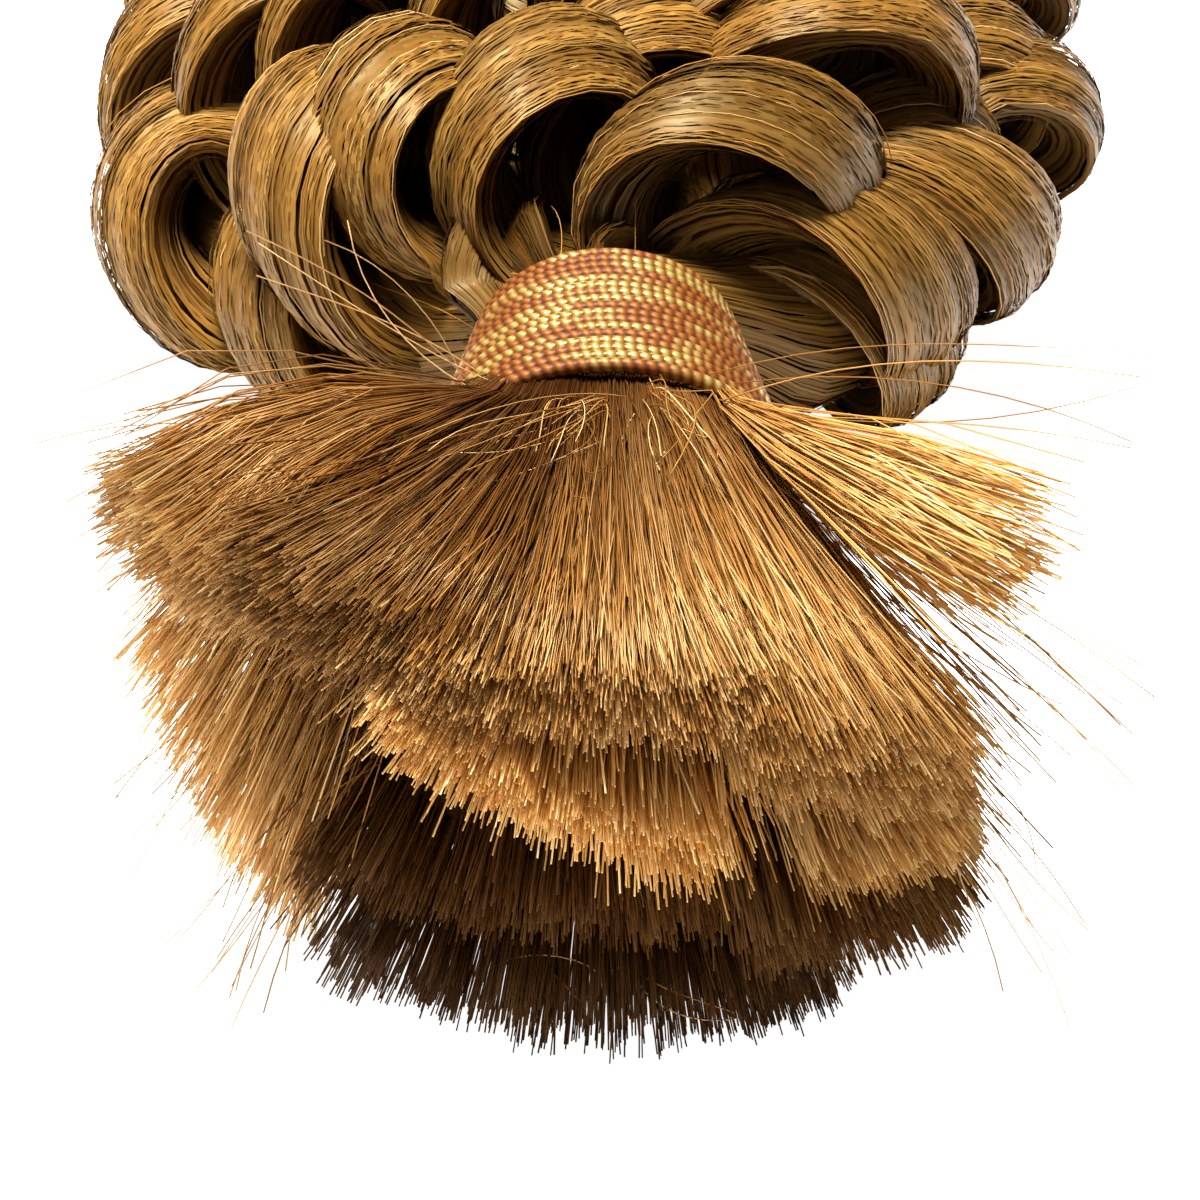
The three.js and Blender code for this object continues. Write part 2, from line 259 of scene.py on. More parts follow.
# Hair packed inside the cut end: sections in order of y, and ridges as their height and number
PACKED_COLUMNS = ("y", "wide", "high", "middle")
PACKED_ROWS = (
    (6, 10.3, 7.6, 20),
    (0, 10.6, 7.2, 20),
    (-6, 10.8, 6.0, 19),
    (-14, 13, 5.5, 17),
    (-21, 14, 5.5, 15.5),
    (-25, 10, 4, 14.5),
    (-27, 4, 2, 14),
)
PACKED_SIDES = 48
PACKED_FIBRES = 12
PACKED_RIDGES = ((0.03, 13), (0.02, 21))

# Loose hairs: start, end, how far they bow out, their scatter and number
LOOSE_STEPS = 10
LOOSE_START_SHARE = 0.5
LOOSE_UPWARDS = 0.6
LOOSE_KINK = 0.7
LOOSE_KNOTS = (0.33, 0.67)
LOOSE_SPREAD = (0.7, 1.0)
LOOSE_SHADES = (0.9, 1.1)
LOOSE_COLUMNS = ("x0", "y0", "z0", "x1", "y1", "z1", "bow", "scatter", "hairs")
LOOSE_ROWS = (
    (-1, -2, 28.5, -3, -11, 29, 3.5, 1.6, 18),
    (3, -2, 28.5, 6, -13, 29, 3.0, 1.8, 18),
    (0, -3, 28, -10, -16, 31, 2.5, 2.0, 16),
    (4, -1, 28.3, 5, -6, 30, 3.0, 0.6, 3),
    (-6, 1, 27.5, -23, 9, 34, 2.5, 2.0, 5),
    (8, -1, 27.5, 31, -14, 37, 2.5, 2.2, 5),
    (9, -4, 26, 30, -26, 21, 2.0, 2.2, 14),
    (-9, -4, 26, -30, -15, 33, 3.0, 1.6, 14),
    (-12, -8, 24, -27, -28, 15, 2.0, 2.0, 14),
    (-6, -30, 6, 0, -34, 7, 3.0, 1.0, 2),
    (2, -31, 6, 8, -34, 5, 2.5, 0.6, 2),
    (-15, -22, 17, -24, -30, 6, 2.0, 2.2, 14),
    (18, -22, 17, 27, -30, 8, 2.0, 2.2, 10),
)

# Thread
THREAD_DIAMETER = 1.0
THREAD_PITCH = 1.08
TWIST_LENGTH = 0.75
THREAD_STEPS = 110
THREAD_SIDES = 8

# Map of each strand, strip or body: its cell's margins, and the places of its caps in the cell
STRAND_CELL = {"left": 0.1, "wide": 0.8, "low": 0.2, "high": 0.75}
STRAND_CAP_RADIUS = 0.08
STRAND_NEAR_CAP = (0.25, 0.09)
STRAND_FAR_CAP = (0.75, 0.09)
STRIP_CELL = {"left": 0.1, "wide": 0.8, "low": 0.05, "high": 0.9}
LOFT_CELL = {"left": 0.02, "wide": 0.9, "low": 0.01, "high": 0.96}
LOFT_CAP_RADIUS = 0.02
LOFT_CAP_PLACE = 0.96
LOFT_CAP_LEVELS = (0.3, 0.7)

# Hair colours, linear
HAIR_DARK = np.array([0.095, 0.030, 0.005])
HAIR_HONEY = np.array([0.45, 0.200, 0.042])
HAIR_PALE = np.array([0.84, 0.57, 0.24])
WAVE_DARK = np.array([0.118, 0.045, 0.006])
WAVE_MIDDLE = np.array([0.220, 0.100, 0.017])
WAVE_LIGHT = np.array([0.40, 0.220, 0.052])
INSIDE_SHADE = 0.34
CLOSED_SHADE = 0.7
CLOSED_FROM = 0.88
INSIDE_BEND = 0.9
WAVE_BODY_SHADES = (0.6, 1.0, 1.5)
WAVE_CORE_SHADES = (0.1, 0.25, 0.7)
PACKED_SHADES = (0.3, 0.6, 1.5)
TONE_SPREAD = 1.5
CLUMP_TONE_SPREAD = 2.0
DARK_BEND = 0.6
ROOT_SHADE = 0.5
ROOT_SHADE_LENGTH = 22.0
GLOSS_TINT = (1.0, 0.80, 0.40)
# Copper thread: painted shade in the grooves between its twists
COPPER_GROOVE_SHADE = (0.10, 0.022, 0.003)
COPPER_DULL = (0.27, 0.085, 0.010)
# Painted glint on the twists of the thread's glinting stretches
COPPER_PAINTED_GLINT = (0.58, 0.46, 0.14)

# Floor and lights
FLOOR_HALF = 3.0
FLOOR_GREY = (0.9, 0.9, 0.9, 1.0)
FLOOR_GLOW = 0.95
WHITE = (1.0, 1.0, 1.0, 1.0)
WORLD_STRENGTH = 0.10
LIGHT_COLUMNS = ("name", "place", "target", "size", "power")
LIGHT_ROWS = (
    ("key", (-0.10, 0.12, 0.92), (0, -0.02, 0.02), 0.36, 29.0),
    ("front", (-0.5, -0.9, 0.7), (0, -0.04, 0.02), 0.6, 1.8),
)

rng = np.random.default_rng(SEED)


def records(columns, rows):
    return [dict(zip(columns, row)) for row in rows]


def mix(low, high, share):
    return low + (high - low) * share


def smooth(value):
    value = np.clip(value, 0.0, 1.0)
    return value * value * (3.0 - 2.0 * value)


def unit(vectors):
    return vectors / np.maximum(np.linalg.norm(vectors, axis=-1, keepdims=True), 1e-9)


def to_row(points):
    """Millimetres from the tie to metres in the part's own frame."""
    return points * MM + TIE_SHIFT


def mesh_piece(name, points, faces, uvs, smooth_faces, material, colours=None, vectors=None):
    """One object from arrays: faces is a list of (count, corners) arrays with uvs to match."""
    mesh = bpy.data.meshes.new(name)
    flat = to_row(points).astype(np.float32)
    mesh.vertices.add(len(flat))
    mesh.vertices.foreach_set("co", flat.ravel())
    sizes = np.concatenate([np.full(len(block), block.shape[1]) for block in faces])
    corners = np.concatenate([block.ravel() for block in faces])
    mesh.loops.add(len(corners))
    mesh.loops.foreach_set("vertex_index", corners.astype(np.int32))
    mesh.polygons.add(len(sizes))
    starts = np.concatenate([[0], np.cumsum(sizes)[:-1]])
    mesh.polygons.foreach_set("loop_start", starts.astype(np.int32))
    flags = np.concatenate([np.full(len(block), flag) for block, flag in zip(faces, smooth_faces)])
    mesh.polygons.foreach_set("use_smooth", flags)
    flat_uvs = np.concatenate([block.reshape(-1, 2) for block in uvs]).astype(np.float32).ravel()
    for layer_name in ("OFBake", "comb"):
        layer = mesh.uv_layers.new(name=layer_name)
        layer.data.foreach_set("uv", flat_uvs)
    if colours is not None:
        attribute = mesh.color_attributes.new("hair_colour", "FLOAT_COLOR", "POINT")
        alpha = np.ones((len(colours), 1))
        attribute.data.foreach_set("color", np.hstack([colours, alpha]).astype(np.float32).ravel())
    if vectors is not None:
        attribute = mesh.attributes.new("fibre", "FLOAT_VECTOR", "POINT")
        attribute.data.foreach_set("vector", vectors.astype(np.float32).ravel())
    mesh.update(calc_edges=True)
    mesh.validate()
    mesh.materials.append(material)
    piece = bpy.data.objects.new(name, mesh)
    bpy.context.scene.collection.objects.link(piece)
    return piece


def strand_mesh(name, paths, radii, colours, material, sides=3):
    """Many thin tubes: paths and colours are (strands, points, 3) arrays, radii (strands, points)."""
    count, steps, _ = paths.shape
    tangent = unit(np.gradient(paths, axis=1))
    mean = unit(paths[:, -1] - paths[:, 0])
    spare = np.eye(3)[np.argmin(np.abs(mean), axis=1)][:, None, :]
    first = unit(np.cross(tangent, np.broadcast_to(spare, tangent.shape)))
    second = np.cross(tangent, first)
    angle = np.arange(sides) * 2 * math.pi / sides
    ring = (first[:, :, None, :] * np.cos(angle)[:, None] + second[:, :, None, :] * np.sin(angle)[:, None])
    points = paths[:, :, None, :] + ring * radii[:, :, None, None]
    start = (np.arange(count) * steps * sides)[:, None, None]
    row = (np.arange(steps - 1) * sides)[None, :, None]
    side = np.arange(sides)[None, None, :]
    follow = (side + 1) % sides
    quads = np.stack([
        np.broadcast_to(start + row + side, (count, steps - 1, sides)),
        np.broadcast_to(start + row + follow, (count, steps - 1, sides)),
        np.broadcast_to(start + row + sides + follow, (count, steps - 1, sides)),
        np.broadcast_to(start + row + sides + side, (count, steps - 1, sides)),
    ], axis=-1).reshape(-1, 4)
    ends = start[:, 0, 0]
    near_cap = ends[:, None] + np.arange(sides)[::-1]
    far_cap = ends[:, None] + (steps - 1) * sides + np.arange(sides)
    # Each strand has its own cell of the map, its sides next to each other and its caps along one edge
    columns = math.ceil(math.sqrt(count))
    rows = math.ceil(count / columns)
    cell = np.stack([np.arange(count) % columns, np.arange(count) // columns], axis=-1)
    level = np.arange(steps - 1)[None, :, None] / (steps - 1)
    shape = (1, steps - 1, sides)
    u0 = np.broadcast_to(STRAND_CELL["left"] + STRAND_CELL["wide"] * side / sides, shape)
    u1 = u0 + STRAND_CELL["wide"] / sides
    v0 = np.broadcast_to(STRAND_CELL["low"] + STRAND_CELL["high"] * level, shape)
    v1 = v0 + STRAND_CELL["high"] / (steps - 1)
    local = np.stack([
        np.stack([u0, v0], -1), np.stack([u1, v0], -1), np.stack([u1, v1], -1), np.stack([u0, v1], -1),
    ], axis=-2)
    scale = np.array([columns, rows])
    quad_uv = (cell[:, None, None, None, :] + local) / scale
    cap_shape = STRAND_CAP_RADIUS * np.stack([np.cos(angle), np.sin(angle)], axis=-1)
    near_uv = (cell[:, None, :] + np.array(STRAND_NEAR_CAP) + cap_shape[None, ::-1]) / scale
    far_uv = (cell[:, None, :] + np.array(STRAND_FAR_CAP) + cap_shape[None]) / scale
    tints = np.repeat(colours.reshape(-1, 3), sides, axis=0)
    return mesh_piece(
        name, points.reshape(-1, 3), [quads, near_cap, far_cap],
        [quad_uv.reshape(-1, 4, 2), near_uv, far_uv], [True, False, False], material, colours=tints,
    )


def loft_mesh(name, rings, material, fibre):
    """Closed skins through rings: rings is (bodies, stations, sides, 3), fibre the same shape."""
    bodies, stations, sides, _ = rings.shape
    start = (np.arange(bodies) * stations * sides)[:, None, None]
    row = (np.arange(stations - 1) * sides)[None, :, None]
    side = np.arange(sides)[None, None, :]
    follow = (side + 1) % sides
    shape = (bodies, stations - 1, sides)
    quads = np.stack([
        np.broadcast_to(start + row + side, shape),
        np.broadcast_to(start + row + sides + side, shape),
        np.broadcast_to(start + row + sides + follow, shape),
        np.broadcast_to(start + row + follow, shape),
    ], axis=-1).reshape(-1, 4)
    near_cap = start[:, 0] + np.arange(sides)[None, :]
    far_cap = start[:, 0] + (stations - 1) * sides + np.arange(sides)[None, ::-1]
    u0 = np.broadcast_to(side / sides, (1, stations - 1, sides))
    u1 = u0 + 1.0 / sides
    level = np.arange(stations - 1)[None, :, None] / (stations - 1)
    v0 = np.broadcast_to(level, (1, stations - 1, sides))
    v1 = v0 + 1.0 / (stations - 1)
    local = np.stack([
        np.stack([u0, v0], -1), np.stack([u0, v1], -1), np.stack([u1, v1], -1), np.stack([u1, v0], -1),
    ], axis=-2)
    cell = np.arange(bodies)[:, None, None, None]
    quad_uv = np.empty((bodies,) + local.shape[1:])
    quad_uv[..., 0] = (cell + LOFT_CELL["left"] + LOFT_CELL["wide"] * local[..., 0]) / bodies
    quad_uv[..., 1] = LOFT_CELL["low"] + LOFT_CELL["high"] * local[..., 1]
    angle = np.arange(sides) * 2 * math.pi / sides
    disc = LOFT_CAP_RADIUS * np.stack([np.cos(angle), np.sin(angle)], axis=-1)
    middle = np.arange(bodies)[:, None] + LOFT_CAP_PLACE
    near_level, far_level = LOFT_CAP_LEVELS
    near_uv = np.stack([
        (middle + disc[None, :, 0]) / bodies, near_level + disc[None, :, 1] + 0 * middle], axis=-1)
    far_uv = np.stack([
        (middle + disc[None, ::-1, 0]) / bodies, far_level + disc[None, ::-1, 1] + 0 * middle], axis=-1)
    return mesh_piece(
        name, rings.reshape(-1, 3), [quads, near_cap, far_cap],
        [quad_uv.reshape(-1, 4, 2), near_uv, far_uv], [True, False, False], material,
        vectors=fibre.reshape(-1, 3),
    )


def strip_mesh(name, left, right, colours, material):
    """Flat strips of hair between two edges: left, right and colours are (strips, points, 3) arrays."""
    count, steps, _ = left.shape
    points = np.stack([left, right], axis=2)
    start = (np.arange(count) * steps * 2)[:, None]
    row = (np.arange(steps - 1) * 2)[None, :]
    first = start + row
    quads = np.stack([first, first + 1, first + 3, first + 2], axis=-1).reshape(-1, 4)
    # Each strip has its own cell of the map
    columns = math.ceil(math.sqrt(count))
    rows = math.ceil(count / columns)
    cell = np.stack([np.arange(count) % columns, np.arange(count) // columns], axis=-1)
    v0 = (STRIP_CELL["low"] + STRIP_CELL["high"] * np.arange(steps - 1) / (steps - 1))[:, None]
    v1 = v0 + STRIP_CELL["high"] / (steps - 1)
    u0 = np.full_like(v0, STRIP_CELL["left"])
    u1 = u0 + STRIP_CELL["wide"]
    local = np.stack([
        np.concatenate([u0, u1, u1, u0], axis=1),
        np.concatenate([v0, v0, v1, v1], axis=1),
    ], axis=-1)
    uv = (cell[:, None, None, :] + local[None]) / np.array([columns, rows])
    tints = np.repeat(colours.reshape(-1, 3), 2, axis=0)
    return mesh_piece(
        name, points.reshape(-1, 3), [quads], [uv.reshape(-1, 4, 2)], [True], material, colours=tints)


# Materials
def new_material(name):
    material = bpy.data.materials.new(name)
    material.use_nodes = True
    nodes = material.node_tree.nodes
    return material, nodes, material.node_tree.links, nodes["Principled BSDF"]


def strand_material(name, roughness, specular=0.5):
    """Single strands: the colour is carried by each strand, with fine streaks of gloss."""
    material, nodes, links, shader = new_material(name)
    colour = nodes.new("ShaderNodeVertexColor")
    colour.layer_name = "hair_colour"
    links.new(colour.outputs["Color"], shader.inputs["Base Color"])
    grain = nodes.new("ShaderNodeTexNoise")
    grain.inputs["Scale"].default_value = 900.0
    spread = nodes.new("ShaderNodeMapRange")
    spread.inputs["To Min"].default_value = roughness - 0.08
    spread.inputs["To Max"].default_value = roughness + 0.1
    place = nodes.new("ShaderNodeTexCoord")
    links.new(place.outputs["Object"], grain.inputs["Vector"])
    links.new(grain.outputs["Fac"], spread.inputs["Value"])
    links.new(spread.outputs["Result"], shader.inputs["Roughness"])
    shader.inputs["Specular IOR Level"].default_value = specular
    shader.inputs["Specular Tint"].default_value = (*GLOSS_TINT, 1.0)
    return material


def strip_material(name, roughness, specular):
    """Strips of combed hair: each carries its own colour, with gloss drawn out across the strands."""
    material, nodes, links, shader = new_material(name)
    colour = nodes.new("ShaderNodeVertexColor")
    colour.layer_name = "hair_colour"
    links.new(colour.outputs["Color"], shader.inputs["Base Color"])
    comb = nodes.new("ShaderNodeTangent")
    comb.direction_type = "UV_MAP"
    comb.uv_map = "comb"
    links.new(comb.outputs["Tangent"], shader.inputs["Tangent"])
    shader.inputs["Roughness"].default_value = roughness
    shader.inputs["Anisotropic"].default_value = 0.6
    shader.inputs["Specular IOR Level"].default_value = specular
    shader.inputs["Specular Tint"].default_value = (*GLOSS_TINT, 1.0)
    return material


def ribbon_material(name, darkest, middle, lightest, roughness, specular):
    """Combed locks: streaks that follow the fibres, in colour, gloss and relief."""
    material, nodes, links, shader = new_material(name)
    fibre = nodes.new("ShaderNodeAttribute")
    fibre.attribute_name = "fibre"
    stretch = nodes.new("ShaderNodeVectorMath")
    stretch.operation = "MULTIPLY"
    stretch.inputs[1].default_value = (3.6, 0.03, 7.3)
    links.new(fibre.outputs["Vector"], stretch.inputs[0])
    streak = nodes.new("ShaderNodeTexNoise")
    streak.inputs["Scale"].default_value = 1.0
    streak.inputs["Detail"].default_value = 5.0
    streak.inputs["Roughness"].default_value = 0.75
    links.new(stretch.outputs["Vector"], streak.inputs["Vector"])
    ramp = nodes.new("ShaderNodeValToRGB")
    stops = ramp.color_ramp.elements
    stops[0].position = 0.28
    stops[0].color = (*darkest, 1.0)
    stops[1].position = 0.74
    stops[1].color = (*lightest, 1.0)
    centre = stops.new(0.5)
    centre.color = (*middle, 1.0)
    links.new(streak.outputs["Fac"], ramp.inputs["Fac"])
    links.new(ramp.outputs["Color"], shader.inputs["Base Color"])
    fine = nodes.new("ShaderNodeVectorMath")
    fine.operation = "MULTIPLY"
    fine.inputs[1].default_value = (11.0, 0.06, 5.1)
    links.new(fibre.outputs["Vector"], fine.inputs[0])
    relief = nodes.new("ShaderNodeTexNoise")
    relief.inputs["Scale"].default_value = 1.0
    relief.inputs["Detail"].default_value = 3.0
    links.new(fine.outputs["Vector"], relief.inputs["Vector"])
    bump = nodes.new("ShaderNodeBump")
    bump.inputs["Strength"].default_value = 0.7
    bump.inputs["Distance"].default_value = 0.0002
    links.new(relief.outputs["Fac"], bump.inputs["Height"])
    links.new(bump.outputs["Normal"], shader.inputs["Normal"])
    gloss = nodes.new("ShaderNodeMapRange")
    gloss.inputs["To Min"].default_value = roughness - 0.1
    gloss.inputs["To Max"].default_value = roughness + 0.12
    links.new(relief.outputs["Fac"], gloss.inputs["Value"])
    links.new(gloss.outputs["Result"], shader.inputs["Roughness"])
    comb = nodes.new("ShaderNodeTangent")
    comb.direction_type = "UV_MAP"
    comb.uv_map = "comb"
    links.new(comb.outputs["Tangent"], shader.inputs["Tangent"])
    shader.inputs["Anisotropic"].default_value = 0.7
    shader.inputs["Specular IOR Level"].default_value = specular
    return material


def thread_material():
    """Twisted copper thread: painted shade in the grooves between the twists, and along it stretches with
    a painted glint on the twists, glossier and more metallic, among plain copper stretches.
    """
    material, nodes, links, shader = new_material("copper_thread")
    fibre = nodes.new("ShaderNodeAttribute")
    fibre.attribute_name = "fibre"
    split = nodes.new("ShaderNodeSeparateXYZ")
    links.new(fibre.outputs["Vector"], split.inputs["Vector"])
    turn = nodes.new("ShaderNodeMath")
    turn.operation = "MULTIPLY_ADD"
    turn.inputs[1].default_value = 2 * math.pi / TWIST_LENGTH
    links.new(split.outputs["Y"], turn.inputs[0])
    links.new(split.outputs["X"], turn.inputs[2])
    twist = nodes.new("ShaderNodeMath")
    twist.operation = "COSINE"
    links.new(turn.outputs["Value"], twist.inputs[0])
    level = nodes.new("ShaderNodeMapRange")
    level.inputs["From Min"].default_value = -1.0
    links.new(twist.outputs["Value"], level.inputs["Value"])
    stretch = nodes.new("ShaderNodeVectorMath")
    stretch.operation = "MULTIPLY"
    stretch.inputs[1].default_value = (0.0, 0.09, 0.0)
    links.new(fibre.outputs["Vector"], stretch.inputs[0])
    # Noise along the thread picks the glinting stretches: painted glint in the colour, with lower
    # roughness and more metal
    glint_noise = nodes.new("ShaderNodeTexNoise")
    glint_noise.inputs["Scale"].default_value = 1.0
    glint_noise.inputs["Detail"].default_value = 3.0
    links.new(stretch.outputs["Vector"], glint_noise.inputs["Vector"])
    glint_stretch = nodes.new("ShaderNodeMapRange")
    glint_stretch.inputs["From Min"].default_value = 0.49
    glint_stretch.inputs["From Max"].default_value = 0.56
    links.new(glint_noise.outputs["Fac"], glint_stretch.inputs["Value"])
    # Stretches without a glint: painted shade in the grooves between the twists, plain copper on them
    groove_shade_ramp = nodes.new("ShaderNodeValToRGB")
    groove_shade_ramp.color_ramp.elements[0].color = (*COPPER_GROOVE_SHADE, 1.0)
    groove_shade_ramp.color_ramp.elements[1].color = (*COPPER_DULL, 1.0)
    links.new(level.outputs["Result"], groove_shade_ramp.inputs["Fac"])
    # Glinting stretches: plain copper in the grooves, a painted glint on the twists
    glint_ramp = nodes.new("ShaderNodeValToRGB")
    glint_ramp.color_ramp.elements[0].color = (*COPPER_DULL, 1.0)
    glint_ramp.color_ramp.elements[1].color = (*COPPER_PAINTED_GLINT, 1.0)
    links.new(level.outputs["Result"], glint_ramp.inputs["Fac"])
    blend = nodes.new("ShaderNodeMix")
    blend.data_type = "RGBA"
    links.new(glint_stretch.outputs["Result"], blend.inputs["Factor"])
    links.new(groove_shade_ramp.outputs["Color"], blend.inputs["A"])
    links.new(glint_ramp.outputs["Color"], blend.inputs["B"])
    links.new(blend.outputs["Result"], shader.inputs["Base Color"])
    gloss = nodes.new("ShaderNodeMapRange")
    gloss.inputs["To Min"].default_value = 0.5
    gloss.inputs["To Max"].default_value = 0.26
    links.new(glint_stretch.outputs["Result"], gloss.inputs["Value"])
    links.new(gloss.outputs["Result"], shader.inputs["Roughness"])
    bump = nodes.new("ShaderNodeBump")
    bump.inputs["Strength"].default_value = 1.0
    bump.inputs["Distance"].default_value = 0.00006
    links.new(level.outputs["Result"], bump.inputs["Height"])
    links.new(bump.outputs["Normal"], shader.inputs["Normal"])
    metal = nodes.new("ShaderNodeMapRange")
    metal.inputs["To Min"].default_value = 0.15
    metal.inputs["To Max"].default_value = 0.45
    links.new(glint_stretch.outputs["Result"], metal.inputs["Value"])
    links.new(metal.outputs["Result"], shader.inputs["Metallic"])
    shader.inputs["Specular IOR Level"].default_value = 0.25
    return material


def strand_colours(count, steps, root_shade, tip_shade, shadow=1.4, clump=None):
    """Mixed strands of dark, honey and pale hair, alike within a clump, with painted shade that lightens
    towards the tip and warms as it darkens; shade above 1 is a painted highlight.
    """
    tone = rng.beta(TONE_SPREAD, TONE_SPREAD, count)
    if clump is not None:
        clump_tone = rng.beta(CLUMP_TONE_SPREAD, CLUMP_TONE_SPREAD, clump.max() + 1)
        tone = mix(tone, clump_tone[clump], CLUMP_LIKENESS)
    base = np.where(
        tone[:, None] < 0.5,
        mix(HAIR_DARK, HAIR_HONEY, (tone * 2)[:, None] ** DARK_BEND),
        mix(HAIR_HONEY, HAIR_PALE, (tone * 2 - 1)[:, None]),
    )
    shade = mix(root_shade, tip_shade, np.linspace(0, 1, steps) ** shadow)
    return base[:, None, :] * (shade[:, None] ** np.array(SHADE_WARMTH))[None]


# Cut end
def aim(yaw, pitch):
    yaw = np.radians(yaw)
    pitch = np.radians(pitch)
    return np.stack([np.sin(yaw) * np.cos(pitch), -np.cos(yaw) * np.cos(pitch), np.sin(pitch)], axis=-1)


def bezier(knots, shares):
    """Cubic curves: knots is four (strands, 3) arrays."""
    t = shares[None, :, None]
    a, b, c, d = (knot[:, None, :] for knot in knots)
    return a * (1 - t) ** 3 + 3 * b * t * (1 - t) ** 2 + 3 * c * t * t * (1 - t) + d * t ** 3


def brush_paths(terrace, count):
    """Strands of one terrace, each from its root under the thread to its cut tip, and their clumps."""
    share = rng.uniform(0, 1, count)
    half_step = terrace["across"] / 2
    yaw = mix(terrace["yaw_from"] - half_step, terrace["yaw_to"] + half_step, share)
    pitch = mix(terrace["pitch_from"], terrace["pitch_to"], share)
    pitch = pitch + terrace["deep"] * rng.uniform(-0.5, 0.5, count)
    widest = np.where(yaw < 0, FAN_YAW_LEFT, FAN_YAW_RIGHT)
    disc = np.stack([yaw / widest, (pitch - FAN_MIDDLE) / FAN_PITCH + terrace["root_rise"]], axis=-1)
    # Neighbouring strands lean together into small points
    groups = max(count // CLUMP_STRANDS, 1)
    leader = rng.integers(0, count, groups)
    nearest = np.argmin(
        (yaw[:, None] - yaw[leader][None]) ** 2 + (pitch[:, None] - pitch[leader][None]) ** 2, axis=1)
    pull = rng.uniform(0.0, CLUMP_PULL, count)
    yaw = mix(yaw, yaw[leader][nearest], pull)
    pitch = mix(pitch, pitch[leader][nearest], pull)
    stray = np.where(rng.uniform(0, 1, count) < STRAY_SHARE, STRAY_ANGLE, CLUMP_ANGLE)
    yaw = yaw + rng.normal(0, 1, count) * stray
    pitch = pitch + rng.normal(0, 1, count) * stray * STRAY_PITCH_SHARE
    reach = terrace["reach"] + rng.normal(0, CLUMP_REACH, groups)[nearest]
    reach = reach + rng.normal(0, STRAND_REACH, count) - terrace["ragged"] * rng.exponential(1.0, count)
    disc = disc + rng.normal(0, ROOT_SCATTER, (count, 2))
    disc = disc / np.maximum(np.linalg.norm(disc, axis=1, keepdims=True), 1.0)
    disc = disc * np.array(ROOT_HALF)
    centre = np.array([0, 0, AXIS_HEIGHT])
    heading = aim(yaw, pitch)
    root = np.stack([disc[:, 0], np.full(count, ROOT_Y), AXIS_HEIGHT + disc[:, 1]], axis=-1)
    straight = np.stack([
        disc[:, 0] + MOUTH_SPREAD * heading[:, 0],
        MOUTH_Y + MOUTH_REACH * heading[:, 1],
        AXIS_HEIGHT + disc[:, 1] * MOUTH_RISE,
    ], axis=-1)
    lean = centre + aim(yaw + terrace["turn"], pitch) * (reach * LEAN_SHARE)[:, None]
    lean = lean + rng.normal(0, LEAN_SCATTER, (count, 3))
    lean[:, 2] += terrace["lift"] * rng.uniform(*LIFT_SPREAD, count)
    tip = centre + heading * reach[:, None]
    tip[:, 2] = np.maximum(tip[:, 2], STRAND_CLEARANCE)
    shares = np.concatenate([[0.0], np.linspace(FIRST_BEND, 1.0, terrace["points"] - 1)])
    return bezier((root, straight, lean, tip), shares), nearest


def make_brush():
    # A lit copy of the strand material, and a less glossy shaded copy for terraces in painted shade
    lit = strand_material("cut_hair", roughness=0.32)
    shaded = strand_material("shaded_cut_hair", roughness=0.4, specular=0.2)
    pieces = []
    for number, terrace in enumerate(records(TERRACE_COLUMNS, TERRACE_ROWS)):
        count = terrace["strands"]
        paths, clump = brush_paths(terrace, count)
        steps = terrace["points"]
        radii = np.repeat(rng.uniform(*STRAND_SPREAD, count)[:, None], steps, axis=1) * STRAND_RADIUS
        colours = strand_colours(
            count, steps, terrace["root_shade"], terrace["tip_shade"], terrace["shadow"], clump)
        material = shaded if terrace["tip_shade"] < SHADED_TIP else lit
        pieces.append(strand_mesh(f"brush_terrace_{number + 1}", paths, radii, colours, material))
    return pieces


def make_loose_hairs():
    """Hairs that stray from the cut end, each on a bowed line of its own."""
    material = strand_material("loose_hair", roughness=0.32)
    near, far = LOOSE_KNOTS
    lines = []
    for row in records(LOOSE_COLUMNS, LOOSE_ROWS):
        count = row["hairs"]
        start = np.array([row["x0"], row["y0"], row["z0"]])
        start = start + rng.normal(0, LOOSE_START_SHARE, (count, 3)) * row["scatter"]
        end = np.array([row["x1"], row["y1"], row["z1"]])
        end = end + rng.normal(0, 1.0, (count, 3)) * row["scatter"]
        away = unit(rng.normal(0, 1, (count, 3)) + np.array([0, 0, LOOSE_UPWARDS])) * row["bow"]
        kink = unit(rng.normal(0, 1, (count, 3))) * row["bow"] * LOOSE_KINK
        first = mix(start, end, near) + away
        second = mix(start, end, far) + away * LOOSE_KINK + kink
        lines.append(bezier((start, first, second, end), np.linspace(0, 1, LOOSE_STEPS)))
    paths = np.concatenate(lines)
    paths[..., 2] = np.maximum(paths[..., 2], STRAND_CLEARANCE)
    count = len(paths)
    radii = np.repeat(rng.uniform(*LOOSE_SPREAD, count)[:, None], LOOSE_STEPS, axis=1) * STRAND_RADIUS
    colours = strand_colours(count, LOOSE_STEPS, *LOOSE_SHADES)
    return strand_mesh("loose_hairs", paths, radii, colours, material)


def make_brush_core():
    """Hair packed too densely to see into, inside the cut end, coloured dark as painted shade."""
    tones = [HAIR_DARK * shade for shade in PACKED_SHADES]
    material = ribbon_material("shaded_packed_hair", *tones, roughness=0.7, specular=0.1)
    sections = dict(zip(PACKED_COLUMNS, np.array(PACKED_ROWS).T[:, :, None]))
    angle = np.arange(PACKED_SIDES) * 2 * math.pi / PACKED_SIDES
    ridge = np.ones(PACKED_SIDES)
    for height, number in PACKED_RIDGES:
        ridge = ridge + height * np.sin(angle * number)
    rings = np.empty((1, len(PACKED_ROWS), PACKED_SIDES, 3))
    rings[0, :, :, 0] = sections["wide"] * np.cos(angle) * ridge
    rings[0, :, :, 1] = sections["y"]
    rings[0, :, :, 2] = sections["middle"] + sections["high"] * np.sin(angle) * ridge
    fibre = np.zeros_like(rings)
    fibre[0, :, :, 0] = angle * PACKED_FIBRES
    fibre[0, :, :, 1] = sections["y"]
    return loft_mesh("brush_core", rings, material, fibre)


